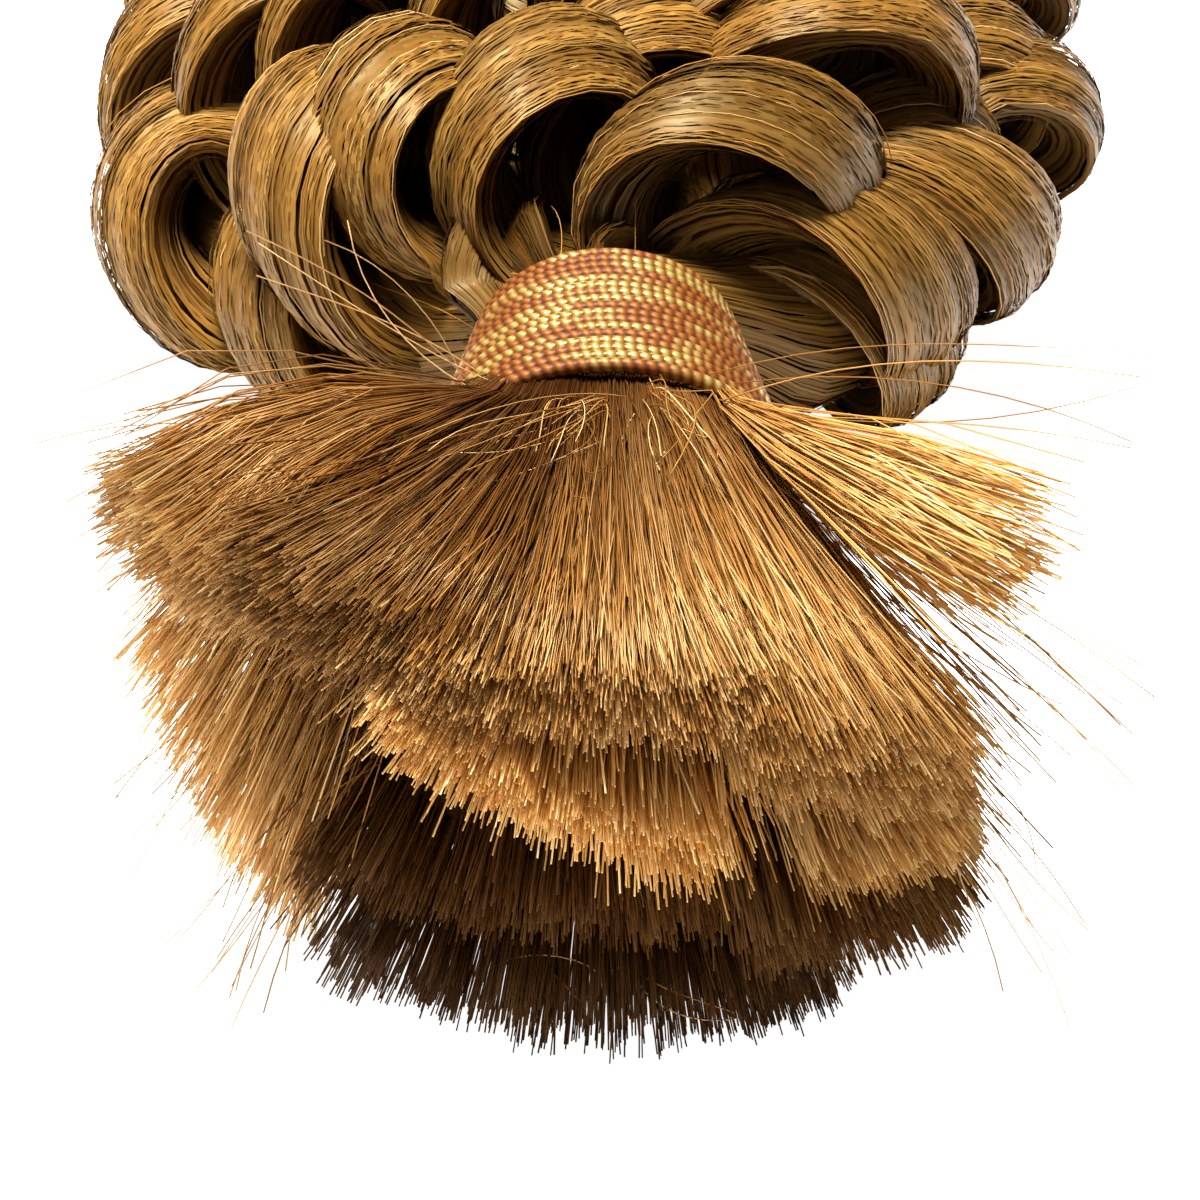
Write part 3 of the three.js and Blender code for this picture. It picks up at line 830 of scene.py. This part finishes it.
# Waves
class Lock:
    """One lock: its lane, curled into a helix about it."""

    def __init__(self, row):
        self.row = row
        self.radius = row["radius"]
        self.hollow = row["radius"] * row["hollow"]
        run = np.linspace(0, row["end"] - LOCK_START, LANE_STEPS)
        swing = smooth(run / row["fan"])
        drift = LATE_SPREAD * row["lane_x"] * np.clip((run - row["fan"]) / LATE_LENGTH, 0, 1)
        self.lane = np.stack([
            mix(row["exit_x"], row["lane_x"], swing) + drift,
            LOCK_START + run,
            mix(AXIS_HEIGHT + row["exit_z"], row["lane_z"], swing),
        ], axis=-1)
        steps = np.linalg.norm(np.diff(self.lane, axis=0), axis=1)
        self.along = np.concatenate([[0], np.cumsum(steps)])
        self.length = self.along[-1]
        self.heading = unit(np.gradient(self.lane, axis=0))

    def at(self, along):
        middle = np.stack([np.interp(along, self.along, axis) for axis in self.lane.T], axis=-1)
        forward = unit(np.stack([np.interp(along, self.along, axis) for axis in self.heading.T], axis=-1))
        side = unit(np.cross(forward, [0, 0, 1.0]))
        rise = np.cross(side, forward)
        turning = np.maximum(along, self.row["start"]) - self.row["crest"]
        turn = math.pi + 2 * math.pi * turning / CURL_PITCH
        out = -np.sin(turn)[..., None] * side - np.cos(turn)[..., None] * rise
        radius = self.radius * smooth((along - self.row["start"]) / CURL_RAMP)
        return middle + radius[..., None] * out, out

    def frames(self, along):
        point, out = self.at(along)
        ahead, _ = self.at(along + NUDGE)
        behind, _ = self.at(along - NUDGE)
        tangent = unit(ahead - behind)
        across = unit(np.cross(tangent, out))
        return point, across, np.cross(across, tangent)




def roll_sizes(lock, along):
    """Half width, crown, depth of the hollow side and growth of a lock at lengths along it."""
    grown = smooth((along - max(lock.row["start"] - NARROW_EASE, 0.0)) / WIDTH_RAMP)
    tip = mix(TIP_WIDTH_SHARE, 1.0, smooth((lock.length - along) / TIP_RAMP))
    swell = 1 + SWELL * np.cos(2 * math.pi * (along - lock.row["crest"]) / CURL_PITCH)
    half_width = mix(ROOT_WIDTH_SHARE, 1.0, grown) * tip * swell * ROLL_WIDTH / 2
    crown = mix(ROOT_CROWN_SHARE, 1.0, grown) * mix(TIP_CROWN_SHARE, 1.0, tip) * ROLL_CROWN
    wound = mix(ROOT_HOLLOW_SHARE, 1.0, smooth((along - lock.row["start"]) / CURL_RAMP))
    hollow = wound * mix(TIP_HOLLOW_SHARE, 1.0, tip) * lock.hollow
    return half_width, crown, hollow, grown


class Section:
    """Section of a lock: a crowned outer face, a hollow side that winds inwards, and a plain back."""

    def __init__(self, lock):
        top = np.linspace(-1, 1, TOP_POINTS)
        inward = np.linspace(0, 1, INSIDE_POINTS + 1)[1:]
        # Shares of the half width, the crown and the hollow for each point
        self.u = np.concatenate([top, mix(1.0, BACK_EDGE, inward), [-1.0]])
        self.rise = np.concatenate([1 - top * top, np.zeros(len(inward) + 1)])
        self.sink = np.concatenate([np.zeros(len(top)), inward ** SINK_BEND, [BACK_SINK]])
        # Distance round the section, along which the strands lie side by side
        wide = np.diff(self.u) * ROLL_WIDTH / 2
        deep = np.diff(self.rise * ROLL_CROWN - self.sink * lock.hollow)
        self.girth = np.concatenate([[0], np.cumsum(np.hypot(wide, deep))])
        self.top_girth = self.girth[TOP_POINTS - 1]
        self.full_girth = self.girth[-1]

    def shares(self, girth):
        return [np.interp(girth, self.girth, column) for column in (self.u, self.rise, self.sink)]


def roll_rings(lock, number):
    """The body of a lock, a little smaller than the strips that cover it."""
    along = np.linspace(0, lock.length, ROLL_STATIONS)
    point, across, out = lock.frames(along)
    half_width, crown, hollow, grown = roll_sizes(lock, along)
    section = Section(lock)
    u_share = mix(section.u, BODY_MIDDLE_U, BODY_EASE)
    u_place = ROLL_OFFSET * grown[:, None] + u_share[None] * half_width[:, None]
    v_place = section.rise[None] * crown[:, None] * (1 - BODY_EASE)
    v_place = v_place - mix(section.sink, BODY_MIDDLE_SINK, BODY_EASE)[None] * hollow[:, None]
    rings = point[:, None] + across[:, None] * u_place[..., None] + out[:, None] * v_place[..., None]
    rings[..., 2] = np.maximum(rings[..., 2], LOCK_CLEARANCE)
    fibre = np.stack([
        np.broadcast_to(section.girth[None], u_place.shape),
        np.broadcast_to(along[:, None], u_place.shape),
        np.full(u_place.shape, float(number)),
    ], axis=-1)
    return rings[:, ::-1], fibre[:, ::-1]


def roll_strips(lock):
    """Strips of hair that cover a lock all round, wandering a little: their two edges and colours."""
    count = STRIPS_OUTSIDE + STRIPS_INSIDE
    section = Section(lock)
    outside_share = (np.arange(STRIPS_OUTSIDE) + 0.5) / STRIPS_OUTSIDE
    inside_share = (np.arange(STRIPS_INSIDE) + 0.5) / STRIPS_INSIDE
    outside = mix(-STRIP_MARGIN, section.top_girth + STRIP_MARGIN, outside_share)
    inside = mix(section.top_girth, section.full_girth, inside_share)
    place = np.concatenate([outside, inside]) + rng.normal(0, STRIP_SCATTER, count)
    end = lock.length - rng.exponential(STRIP_SHORTER, count).clip(0, STRIP_SHORTEST)
    along = np.linspace(0, 1, STRIP_STATIONS)[None] * end[:, None]
    point, across, out = lock.frames(along)
    half_width, crown, hollow, grown = roll_sizes(lock, along)

    def waver(size, slowest, quickest):
        pace = rng.uniform(slowest, quickest, (count, 1))
        return size * np.sin(along * pace + rng.uniform(0, 2 * math.pi, (count, 1)))

    def by_breadth(broad_range, fine_range):
        return np.where(broad, rng.uniform(*broad_range, (count, 1)), rng.uniform(*fine_range, (count, 1)))

    girth = place[:, None] + waver(*STRIP_WAVER) + waver(*STRIP_RIPPLE)
    girth = np.clip(girth, 0.0, section.full_girth)
    broad = rng.uniform(0, 1, (count, 1)) < BROAD_SHARE
    half = by_breadth(BROAD_HALF, FINE_HALF)
    stand = by_breadth(BROAD_STAND, FINE_STAND)
    stand = stand + np.maximum(waver(*STAND_WAVER), 0)
    tilt = rng.normal(0, TILT_SCATTER, (count, 1)) + waver(*TILT_WAVER)
    sway = RIDGE_SWAY * np.sin(along * RIDGE_PACE)
    ridge = np.sin(2 * math.pi * girth / RIDGE_WIDTH + sway + lock.row["crest"])

    def edge(shift):
        u, rise, sink = section.shares(np.clip(girth + shift, 0.0, section.full_girth))
        return ROLL_OFFSET * grown + u * half_width, rise * crown - sink * hollow

    u_left, v_left = edge(-half)
    u_right, v_right = edge(half)
    slope = unit(np.stack([u_right - u_left, v_right - v_left], axis=-1))
    sides = []
    for u, v, way in ((u_left, v_left, 1.0), (u_right, v_right, -1.0)):
        height = (stand + RIDGE_HEIGHT * ridge + way * tilt * half) * mix(ROOT_STAND_SHARE, 1.0, grown)
        u_place = u - slope[..., 1] * height
        v_place = v + slope[..., 0] * height
        side = point + across * u_place[..., None] + out * v_place[..., None]
        side[..., 2] = np.maximum(side[..., 2], LOCK_CLEARANCE)
        sides.append(side)
    depth = section.shares(girth)[2]
    # Painted shade: darker down the hollow side, less so in a closed lock, darker at the roots and in the
    # grooves between ridges; then a tone for each lock
    closed = smooth((lock.row["hollow"] - CLOSED_FROM) / (1 - CLOSED_FROM))
    shade = mix(1.0, mix(INSIDE_SHADE, CLOSED_SHADE, closed), depth ** INSIDE_BEND)
    shade = shade * mix(ROOT_SHADE, 1.0, smooth(along / ROOT_SHADE_LENGTH))
    shade = shade * mix(RIDGE_SHADE, 1.0, ridge / 2 + 0.5) * lock.row["tone"]
    likeness = np.where(broad[:, 0], BROAD_LIKENESS, FINE_LIKENESS)
    return sides[0], sides[1], wave_tones(count, likeness)[:, None, :] * shade[..., None]


def arch_hairs(lock):
    """Single hairs over the arches of a lock: each rises out of it, follows it and sinks back."""
    arches = np.arange(lock.row["crest"], lock.length - ARCH_END, CURL_PITCH)
    total = len(arches) * ARCH_HAIRS
    middle = np.repeat(arches, ARCH_HAIRS) + rng.normal(0, ARCH_SCATTER, total)
    reach = rng.uniform(*ARCH_REACH, total) * CURL_PITCH
    share = np.linspace(-1, 1, ARCH_STEPS)
    along = np.clip(middle[:, None] + reach[:, None] * share[None], ARCH_FIRST, lock.length)
    point, across, out = lock.frames(along)
    half_width, crown, _, grown = roll_sizes(lock, along)
    on_edge = rng.uniform(0, 1, total) < ARCH_EDGE_SHARE
    side = np.where(on_edge, rng.uniform(*ARCH_EDGE, total), rng.uniform(*ARCH_FACE, total))
    u = side[:, None] + ARCH_DRIFT * rng.normal(0, 1, (total, 1)) * share[None]
    rise = mix(ARCH_SINK, 1.0, 1 - np.abs(share[None]) ** ARCH_FLATNESS)
    stand = rise * rng.uniform(*ARCH_STAND, (total, 1))
    u_place = ROLL_OFFSET * grown + u * half_width
    v_place = (1 - np.minimum(u * u, 1)) * crown + stand
    paths = point + across * u_place[..., None] + out * v_place[..., None]
    paths[..., 2] = np.maximum(paths[..., 2], LOCK_CLEARANCE)
    return paths


def lone_hair(lock):
    """One hair that lies along a lock, and strays from it a little."""
    along = np.linspace(LONE_START, lock.length, LONE_STEPS)
    point, across, out = lock.frames(along)
    grown = smooth(along / WIDTH_RAMP)
    tip = mix(LONE_TIP_SHARE, 1.0, smooth((lock.length - along) / TIP_RAMP))
    place = rng.uniform(-LONE_SPREAD, LONE_SPREAD)
    side_pace = rng.uniform(*LONE_SIDE_PACE)
    u = place + LONE_SWAY * np.sin(along * side_pace + rng.uniform(0, LONE_PHASE))
    lift = rng.uniform(0.0, LONE_LIFT)
    lift_pace = rng.uniform(*LONE_LIFT_PACE)
    v = LONE_HEIGHT + lift * (1 + np.sin(along * lift_pace + rng.uniform(0, LONE_PHASE)))
    u = u * grown * tip
    v = v * mix(LONE_ROOT_SHARE, 1.0, grown)
    path = point + across * u[:, None] + out * v[:, None]
    path[:, 2] = np.maximum(path[:, 2], LOCK_CLEARANCE)
    return path[None]


def wave_tones(count, likeness):
    """One colour for each strip, from dark through honey to pale."""
    tone = rng.beta(likeness, likeness, count)[:, None]
    darker = mix(WAVE_DARK, WAVE_MIDDLE, tone * 2)
    lighter = mix(WAVE_MIDDLE, WAVE_LIGHT, tone * 2 - 1)
    return np.where(tone < 0.5, darker, lighter)


def make_waves():
    # The bodies under the strips, seen between them and in the hollows, are coloured dark as painted shade
    tones = [WAVE_DARK * shade for shade in WAVE_BODY_SHADES]
    body = ribbon_material("shaded_wave_body", *tones, roughness=0.6, specular=0.1)
    combed = strip_material("combed_hair", roughness=0.42, specular=0.32)
    loose = strand_material("waved_strands", roughness=0.32)
    pieces = []
    for number, row in enumerate(records(LOCK_COLUMNS, LOCK_ROWS)):
        name = f"lock_{number + 1}"
        lock = Lock(row)
        rings, fibre = roll_rings(lock, number)
        pieces.append(loft_mesh(name, rings[None], body, fibre[None]))
        if number >= COVERED_LOCKS:
            continue
        left, right, colours = roll_strips(lock)
        pieces.append(strip_mesh(f"{name}_strips", left, right, colours, combed))
        paths = arch_hairs(lock)
        radii = rng.uniform(*ARCH_RADIUS, (len(paths), 1)) * np.ones((1, ARCH_STEPS))
        colours = strand_colours(len(paths), ARCH_STEPS, ARCH_SHADE, ARCH_SHADE)
        pieces.append(strand_mesh(f"{name}_hairs", paths, radii, colours, loose))
        paths = lone_hair(lock)
        radii = np.full((1, LONE_STEPS), LONE_RADIUS)
        colours = strand_colours(1, LONE_STEPS, *LONE_SHADES)
        pieces.append(strand_mesh(f"{name}_stray", paths, radii, colours, loose))
    return pieces


def core_points(stations, angle, lift):
    """Points of the core's surface at lengths along it and angles round it, lifted off it a little."""
    sections = dict(zip(CORE_COLUMNS, np.array(CORE_ROWS).T))
    left, right, bottom, top = (np.interp(stations, sections["y"], sections[k]) for k in CORE_COLUMNS[1:])
    return np.stack([
        (left + right) / 2 + ((right - left) / 2 + lift) * np.cos(angle),
        stations + 0 * angle,
        (bottom + top) / 2 + ((top - bottom) / 2 + lift) * np.sin(angle),
    ], axis=-1)


def make_wave_core():
    """Hair in the dark between the locks, fanning out of the tie, and the strips that cover it."""
    tones = [HAIR_DARK * shade for shade in WAVE_CORE_SHADES]
    material = ribbon_material("shaded_hair", *tones, roughness=0.8, specular=0.05)
    near_end = CORE_ROWS[0][0]
    far_end = CORE_ROWS[-1][0]
    stations = np.linspace(near_end, far_end, CORE_STATIONS)
    angle = np.arange(CORE_SIDES) * 2 * math.pi / CORE_SIDES
    wave = CORE_WAVE_HEIGHT * np.sin(angle[None] * CORE_WAVES + stations[:, None] * CORE_WAVE_PACE)
    rings = core_points(stations[:, None], angle[None], wave - CORE_WAVE_HEIGHT)[None]
    fibre = np.zeros_like(rings)
    fibre[0, ..., 0] = angle[None] * CORE_FIBRES
    fibre[0, ..., 1] = stations[:, None]
    body = loft_mesh("wave_core", rings, material, fibre)
    strip_shape = (CORE_STRIPS, 1)
    along = np.linspace(near_end, CORE_STRIPS_END, CORE_STRIP_STATIONS)[None]
    place = rng.uniform(-CORE_STRIP_BELOW, math.pi + CORE_STRIP_BELOW, strip_shape)
    swirl = CORE_SWIRL * np.sin(along * CORE_SWIRL_PACE + rng.normal(0, CORE_SWIRL_SCATTER, strip_shape))
    half = rng.uniform(*CORE_STRIP_HALF, strip_shape)
    lift = rng.uniform(*CORE_STRIP_LIFT, strip_shape) + 0 * along
    left = core_points(along, place + swirl - half, lift)
    right = core_points(along, place + swirl + half, lift)
    shade = mix(CORE_SHADE_NEAR, CORE_SHADE_FAR, smooth((along - CORE_SHADE_FROM) / CORE_SHADE_LENGTH))
    colours = wave_tones(CORE_STRIPS, CORE_LIKENESS)[:, None, :] * shade[..., None]
    covering = strip_material("core_hair", roughness=0.5, specular=0.2)
    return [body, strip_mesh("core_strips", left, right, colours, covering)]


# Tie
def make_tie():
    half = THREAD_DIAMETER / 2
    turns = (TIE_LENGTH - THREAD_DIAMETER) / THREAD_PITCH
    steps = int(turns * THREAD_STEPS)
    share = np.linspace(0, 1, steps)
    angle = share * turns * 2 * math.pi
    y = half + share * turns * THREAD_PITCH
    wide = mix(TIE_NEAR_HALF[0], TIE_FAR_HALF[0], y / TIE_LENGTH) - half
    high = mix(TIE_NEAR_HALF[1], TIE_FAR_HALF[1], y / TIE_LENGTH) - half
    out = unit(np.stack([-np.sin(angle) * high, np.zeros(steps), -np.cos(angle) * wide], axis=-1))
    middle = np.stack([-np.sin(angle) * wide, y, AXIS_HEIGHT - np.cos(angle) * high], axis=-1)
    length = np.concatenate([[0], np.cumsum(np.linalg.norm(np.diff(middle, axis=0), axis=1))])
    around = math.pi + np.arange(THREAD_SIDES) * 2 * math.pi / THREAD_SIDES
    forward = np.array([0, 1.0, 0])
    ring = out[:, None] * np.cos(around)[None, :, None] + forward * np.sin(around)[None, :, None]
    rings = (middle[:, None] + ring * half)[None]
    fibre = np.zeros_like(rings)
    fibre[0, ..., 0] = around[None]
    fibre[0, ..., 1] = length[:, None]
    return loft_mesh("wound_thread", rings, thread_material(), fibre)


# Floor, light and camera
def make_floor():
    mesh = bpy.data.meshes.new("floor")
    corners = [(x * FLOOR_HALF, y * FLOOR_HALF, 0) for x, y in ((-1, -1), (1, -1), (1, 1), (-1, 1))]
    mesh.from_pydata(corners, [], [(0, 1, 2, 3)])
    material, nodes, links, shader = new_material("pale_floor")
    shader.inputs["Base Color"].default_value = FLOOR_GREY
    shader.inputs["Roughness"].default_value = 0.8
    shader.inputs["Emission Color"].default_value = WHITE
    seen = nodes.new("ShaderNodeLightPath")
    glow = nodes.new("ShaderNodeMath")
    glow.operation = "MULTIPLY"
    glow.inputs[1].default_value = FLOOR_GLOW
    links.new(seen.outputs["Is Camera Ray"], glow.inputs[0])
    links.new(glow.outputs["Value"], shader.inputs["Emission Strength"])
    mesh.materials.append(material)
    floor = bpy.data.objects.new("floor", mesh)
    bpy.context.scene.collection.objects.link(floor)


def add_light(name, place, target, size, power):
    data = bpy.data.lights.new(name, "AREA")
    data.shape = "DISK"
    data.size = size
    data.energy = power
    light = bpy.data.objects.new(name, data)
    bpy.context.scene.collection.objects.link(light)
    light.location = place
    direction = np.array(target) - np.array(place)
    lean = math.acos(-direction[2] / np.linalg.norm(direction))
    heading = math.atan2(direction[0], -direction[1]) + math.pi
    light.rotation_euler = (lean, 0.0, heading)


def make_lights():
    for row in records(LIGHT_COLUMNS, LIGHT_ROWS):
        add_light(**row)
    world = bpy.data.worlds.new("studio")
    world.use_nodes = True
    sky = world.node_tree.nodes["Background"]
    sky.inputs["Color"].default_value = WHITE
    sky.inputs["Strength"].default_value = WORLD_STRENGTH
    bpy.context.scene.world = world
    bpy.context.scene.view_settings.view_transform = "Standard"


def make_camera():
    data = bpy.data.cameras.new("camera")
    data.sensor_width = SENSOR_MM
    data.lens = SENSOR_MM * FOCAL_PIXELS / PHOTO_SIZE
    data.clip_start = 0.01
    rise = math.radians(CAMERA_RISE_DEG)
    below = math.atan((PHOTO_SIZE / 2 - TIE_PIXEL[1]) / FOCAL_PIXELS)
    aside = (TIE_PIXEL[0] - PHOTO_SIZE / 2) / FOCAL_PIXELS * CAMERA_DISTANCE
    place = np.array([
        -aside, -CAMERA_DISTANCE * math.cos(rise), AXIS_HEIGHT + CAMERA_DISTANCE * math.sin(rise)])
    camera = bpy.data.objects.new("camera", data)
    camera.location = to_row(place)
    camera.rotation_euler = (math.pi / 2 - rise - below, 0.0, 0.0)
    bpy.context.scene.collection.objects.link(camera)
    bpy.context.scene.camera = camera


make_camera()
make_floor()
make_lights()
for piece in make_brush() + [make_brush_core(), make_loose_hairs()]:
    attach(piece, "root")
    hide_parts("cut_end_brush")
for piece in make_waves() + make_wave_core():
    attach(piece, "root")
    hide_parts("waved_length")
thread = make_tie()
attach(thread, "root")
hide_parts("tie_wrap")
